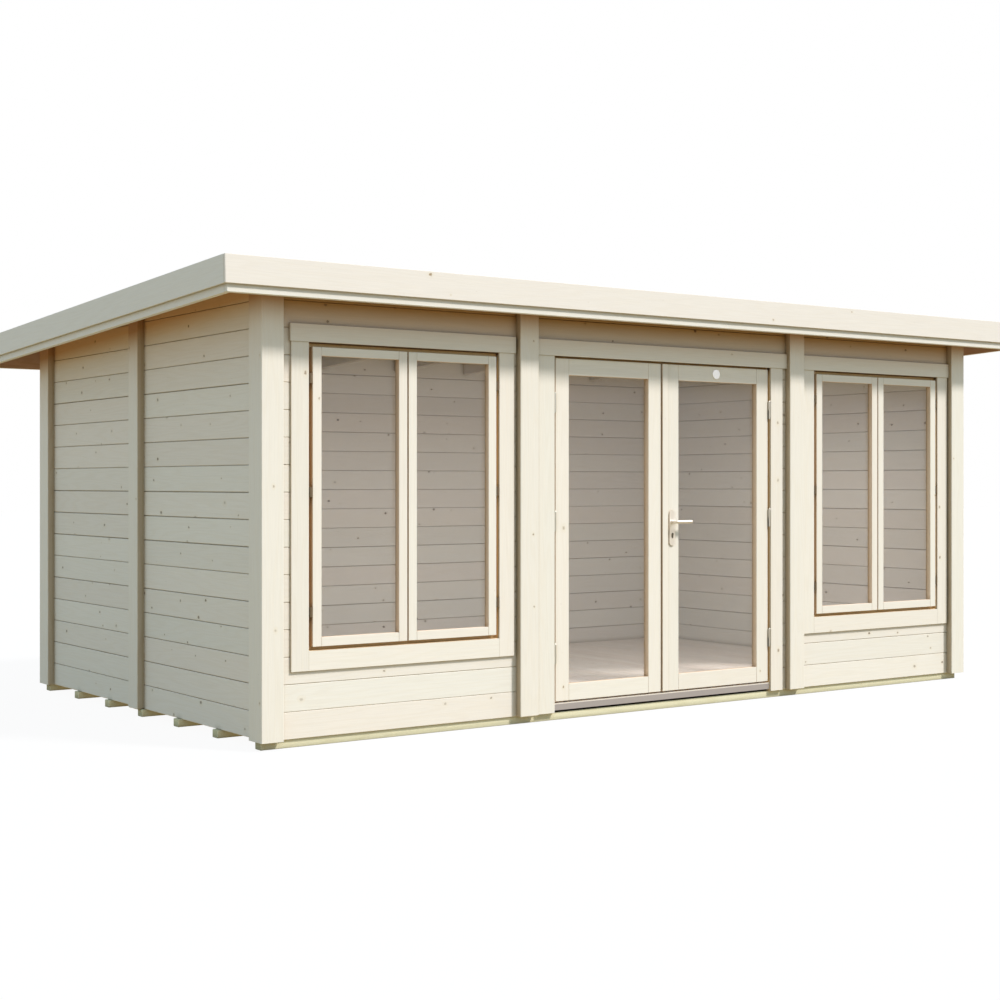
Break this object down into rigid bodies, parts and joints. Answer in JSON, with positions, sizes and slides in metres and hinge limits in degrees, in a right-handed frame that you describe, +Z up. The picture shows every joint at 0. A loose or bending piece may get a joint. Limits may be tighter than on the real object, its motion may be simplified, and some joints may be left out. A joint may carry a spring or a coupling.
{
  "type": "garden cabin",
  "caption": "Board-built garden cabin with a single-slope roof, plank posts, a glazed double door and a fixed pair of window sashes on each side.",
  "frame": {"origin": "on the ground, under the middle of the roof's outline", "axes": "+X along the front to the right as seen from outside, +Y from the front to the back, +Z up"},
  "size_m": [5.785, 3.51, 2.3694],
  "materials": {
    "wall_boards": "planed, untreated",
    "post_wood": "planed, untreated",
    "trim_wood": "planed, untreated",
    "frame_wood": "planed, untreated",
    "leaf_wood": "planed, untreated",
    "floor_wood": "planed, untreated",
    "roof_wood": "sawn, untreated",
    "fascia_wood": "planed, untreated",
    "treated_timber": "pressure treated",
    "pane_glass": "clear",
    "threshold_aluminium": "mill finish",
    "hinge_steel": "zinc plated",
    "handle_metal": "satin",
    "felt": "mineral faced"
  },
  "bodies": {
    "cabin": {"bearers": "treated_timber", "floor": "floor_wood", "front_wall_left": "wall_boards", "front_wall_right": "wall_boards", "front_wall_beside_door": "wall_boards", "front_wall_over_door": "wall_boards", "left_wall": "wall_boards", "right_wall": "wall_boards", "back_wall": "wall_boards", "front_left_corner_post": "post_wood", "front_right_corner_post": "post_wood", "back_left_corner_post": "post_wood", "back_right_corner_post": "post_wood", "front_posts": "post_wood", "side_posts": "post_wood", "back_posts": "post_wood", "left_window_trim": "trim_wood", "right_window_trim": "trim_wood", "left_window_frame": "frame_wood", "right_window_frame": "frame_wood", "left_window_sashes": "leaf_wood", "right_window_sashes": "leaf_wood", "left_window_glass": "pane_glass", "right_window_glass": "pane_glass", "window_hinges": "hinge_steel", "door_trim": "trim_wood", "door_frame": "frame_wood", "door_threshold": "threshold_aluminium", "frame_hinges": "hinge_steel", "rafters": "roof_wood", "rim_boards_front_back": "fascia_wood", "rim_boards_sides": "fascia_wood", "roof_boards": "roof_wood", "roof_felt": "felt", "fascia_front_back": "fascia_wood", "fascia_sides": "fascia_wood"},
    "left_door": {"left_door_leaf": "leaf_wood", "left_door_glass": "pane_glass", "left_door_hinges": "hinge_steel"},
    "right_door": {"right_door_leaf": "leaf_wood", "right_door_glass": "pane_glass", "right_door_hinges": "hinge_steel", "door_cover_strip": "leaf_wood", "door_handle_plates": "handle_metal"},
    "door_handle": {"door_levers": "handle_metal"}
  },
  "joints": [
    {"name": "left_door_hinge", "type": "hinge", "parent": "cabin", "child": "left_door", "pos_m": [-0.793, -1.528, 0], "axis": [0, 0, -1], "range_deg": [0, 120]},
    {"name": "right_door_hinge", "type": "hinge", "parent": "cabin", "child": "right_door", "pos_m": [0.842, -1.528, 0], "axis": [0, 0, 1], "range_deg": [0, 120]},
    {"name": "door_handle_turn", "type": "hinge", "parent": "right_door", "child": "door_handle", "pos_m": [0.0605, -1.499, 1.078], "axis": [0, 1, 0], "range_deg": [0, 40], "stiffness_Nm_per_rad": 1.5, "springref_deg": -28.65}
  ]
}
